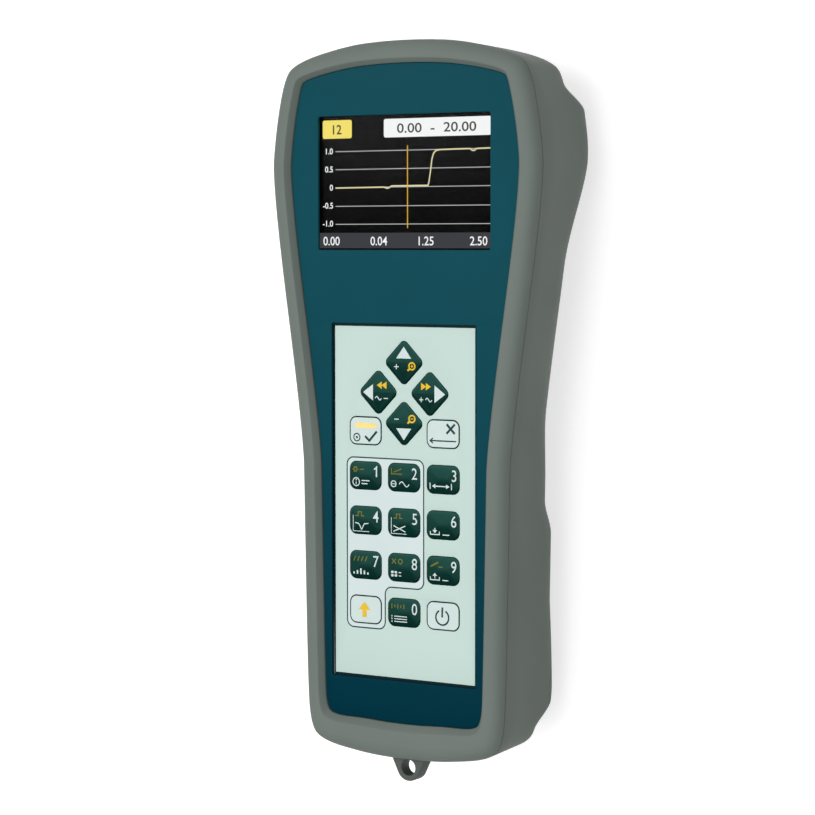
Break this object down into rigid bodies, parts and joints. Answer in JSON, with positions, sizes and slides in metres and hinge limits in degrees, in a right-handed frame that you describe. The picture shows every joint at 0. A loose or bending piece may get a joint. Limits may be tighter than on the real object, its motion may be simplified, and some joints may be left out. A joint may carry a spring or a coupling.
{
  "type": "handheld antenna analyzer",
  "caption": "Handheld antenna analyzer with a colour display, a keypad with digit and arrow keys, a recessed coaxial socket, a strap lug and a battery door in the back.",
  "frame": {"origin": "centre of the bounding box in X and Y, at the lowest level of the back", "axes": "+Z out of the face with the display and keys, +Y towards the end with the antenna socket, +X to the right when the keypad is read"},
  "size_m": [0.101, 0.2376, 0.055],
  "materials": {
    "case": "fine moulded texture, satin",
    "face": "fine texture, satin",
    "keypad_sheet": "printed polyester sheet, satin",
    "dark_keys": "satin",
    "pale_keys": "satin",
    "window": "clear, polished",
    "display": "dark polished glass",
    "backlight": "white diffuser",
    "gasket": "soft, dull",
    "screws": "zinc plated",
    "inner_plastic": "moulded, satin",
    "sheet_metal": "tinned sheet and wire",
    "circuit_board": "lacquered laminate",
    "chips": "moulded, dull",
    "flat_cable": "thin amber film",
    "socket_metal": "bright nickel",
    "insulator": "white, waxy",
    "contact_metal": "plated",
    "cell_jacket": "glossy wrap",
    "wire_jacket": "insulated wire"
  },
  "bodies": {
    "case": {"front_shell": "case", "rear_shell": "case", "strap_lug": "case", "face_panel": "face", "case_seal": "gasket", "case_screws": "screws", "chassis": "inner_plastic", "chassis_screws": "screws", "display_window": "window", "lcd_panel": "display", "backlight": "backlight", "lcd_frame": "sheet_metal", "lcd_clamp": "sheet_metal", "clamp_screws": "screws", "keypad_overlay": "keypad_sheet", "key_domes": "sheet_metal", "key_board": "circuit_board", "key_board_screws": "screws", "main_board": "circuit_board", "board_screws": "screws", "board_chips": "chips", "shield_frame": "sheet_metal", "shield_lid": "sheet_metal", "display_ribbon": "flat_cable", "keypad_ribbon": "flat_cable", "buzzer": "inner_plastic", "clock_cell": "sheet_metal", "connector_cup": "inner_plastic", "rf_connector": "socket_metal", "rf_insulator": "insulator", "rf_contact": "contact_metal", "connector_nut": "socket_metal", "connector_washer": "socket_metal", "rf_lead": "contact_metal", "usb_socket": "sheet_metal", "usb_tongue": "inner_plastic", "battery_tray": "inner_plastic", "battery_cells": "cell_jacket", "battery_springs": "sheet_metal", "battery_contacts": "sheet_metal", "battery_leads": "wire_jacket"},
    "key_up": {"key_up": "dark_keys"},
    "key_left": {"key_left": "dark_keys"},
    "key_right": {"key_right": "dark_keys"},
    "key_down": {"key_down": "dark_keys"},
    "key_ok": {"key_ok": "pale_keys"},
    "key_cancel": {"key_cancel": "pale_keys"},
    "key_function": {"key_function": "pale_keys"},
    "key_power": {"key_power": "pale_keys"},
    "key_1": {"key_1": "dark_keys"},
    "key_2": {"key_2": "dark_keys"},
    "key_3": {"key_3": "dark_keys"},
    "key_4": {"key_4": "dark_keys"},
    "key_5": {"key_5": "dark_keys"},
    "key_6": {"key_6": "dark_keys"},
    "key_7": {"key_7": "dark_keys"},
    "key_8": {"key_8": "dark_keys"},
    "key_9": {"key_9": "dark_keys"},
    "key_0": {"key_0": "dark_keys"},
    "battery_door": {"battery_door": "case"}
  },
  "joints": [
    {"name": "key_up_press", "type": "slide", "parent": "case", "child": "key_up", "axis": [0, 0, -1], "range_m": [0, 0.0004], "stiffness_N_per_m": 400, "springref_m": -0.0003},
    {"name": "key_left_press", "type": "slide", "parent": "case", "child": "key_left", "axis": [0, 0, -1], "range_m": [0, 0.0004], "stiffness_N_per_m": 400, "springref_m": -0.0003},
    {"name": "key_right_press", "type": "slide", "parent": "case", "child": "key_right", "axis": [0, 0, -1], "range_m": [0, 0.0004], "stiffness_N_per_m": 400, "springref_m": -0.0003},
    {"name": "key_down_press", "type": "slide", "parent": "case", "child": "key_down", "axis": [0, 0, -1], "range_m": [0, 0.0004], "stiffness_N_per_m": 400, "springref_m": -0.0003},
    {"name": "key_ok_press", "type": "slide", "parent": "case", "child": "key_ok", "axis": [0, 0, -1], "range_m": [0, 0.0004], "stiffness_N_per_m": 400, "springref_m": -0.0003},
    {"name": "key_cancel_press", "type": "slide", "parent": "case", "child": "key_cancel", "axis": [0, 0, -1], "range_m": [0, 0.0004], "stiffness_N_per_m": 400, "springref_m": -0.0003},
    {"name": "key_function_press", "type": "slide", "parent": "case", "child": "key_function", "axis": [0, 0, -1], "range_m": [0, 0.0004], "stiffness_N_per_m": 400, "springref_m": -0.0003},
    {"name": "key_power_press", "type": "slide", "parent": "case", "child": "key_power", "axis": [0, 0, -1], "range_m": [0, 0.0004], "stiffness_N_per_m": 400, "springref_m": -0.0003},
    {"name": "key_1_press", "type": "slide", "parent": "case", "child": "key_1", "axis": [0, 0, -1], "range_m": [0, 0.0004], "stiffness_N_per_m": 400, "springref_m": -0.0003},
    {"name": "key_2_press", "type": "slide", "parent": "case", "child": "key_2", "axis": [0, 0, -1], "range_m": [0, 0.0004], "stiffness_N_per_m": 400, "springref_m": -0.0003},
    {"name": "key_3_press", "type": "slide", "parent": "case", "child": "key_3", "axis": [0, 0, -1], "range_m": [0, 0.0004], "stiffness_N_per_m": 400, "springref_m": -0.0003},
    {"name": "key_4_press", "type": "slide", "parent": "case", "child": "key_4", "axis": [0, 0, -1], "range_m": [0, 0.0004], "stiffness_N_per_m": 400, "springref_m": -0.0003},
    {"name": "key_5_press", "type": "slide", "parent": "case", "child": "key_5", "axis": [0, 0, -1], "range_m": [0, 0.0004], "stiffness_N_per_m": 400, "springref_m": -0.0003},
    {"name": "key_6_press", "type": "slide", "parent": "case", "child": "key_6", "axis": [0, 0, -1], "range_m": [0, 0.0004], "stiffness_N_per_m": 400, "springref_m": -0.0003},
    {"name": "key_7_press", "type": "slide", "parent": "case", "child": "key_7", "axis": [0, 0, -1], "range_m": [0, 0.0004], "stiffness_N_per_m": 400, "springref_m": -0.0003},
    {"name": "key_8_press", "type": "slide", "parent": "case", "child": "key_8", "axis": [0, 0, -1], "range_m": [0, 0.0004], "stiffness_N_per_m": 400, "springref_m": -0.0003},
    {"name": "key_9_press", "type": "slide", "parent": "case", "child": "key_9", "axis": [0, 0, -1], "range_m": [0, 0.0004], "stiffness_N_per_m": 400, "springref_m": -0.0003},
    {"name": "key_0_press", "type": "slide", "parent": "case", "child": "key_0", "axis": [0, 0, -1], "range_m": [0, 0.0004], "stiffness_N_per_m": 400, "springref_m": -0.0003},
    {"name": "door_hinge", "type": "hinge", "parent": "case", "child": "battery_door", "pos_m": [0, -0.02955, 0.00889], "axis": [1, 0, 0], "range_deg": [0, 40]}
  ]
}
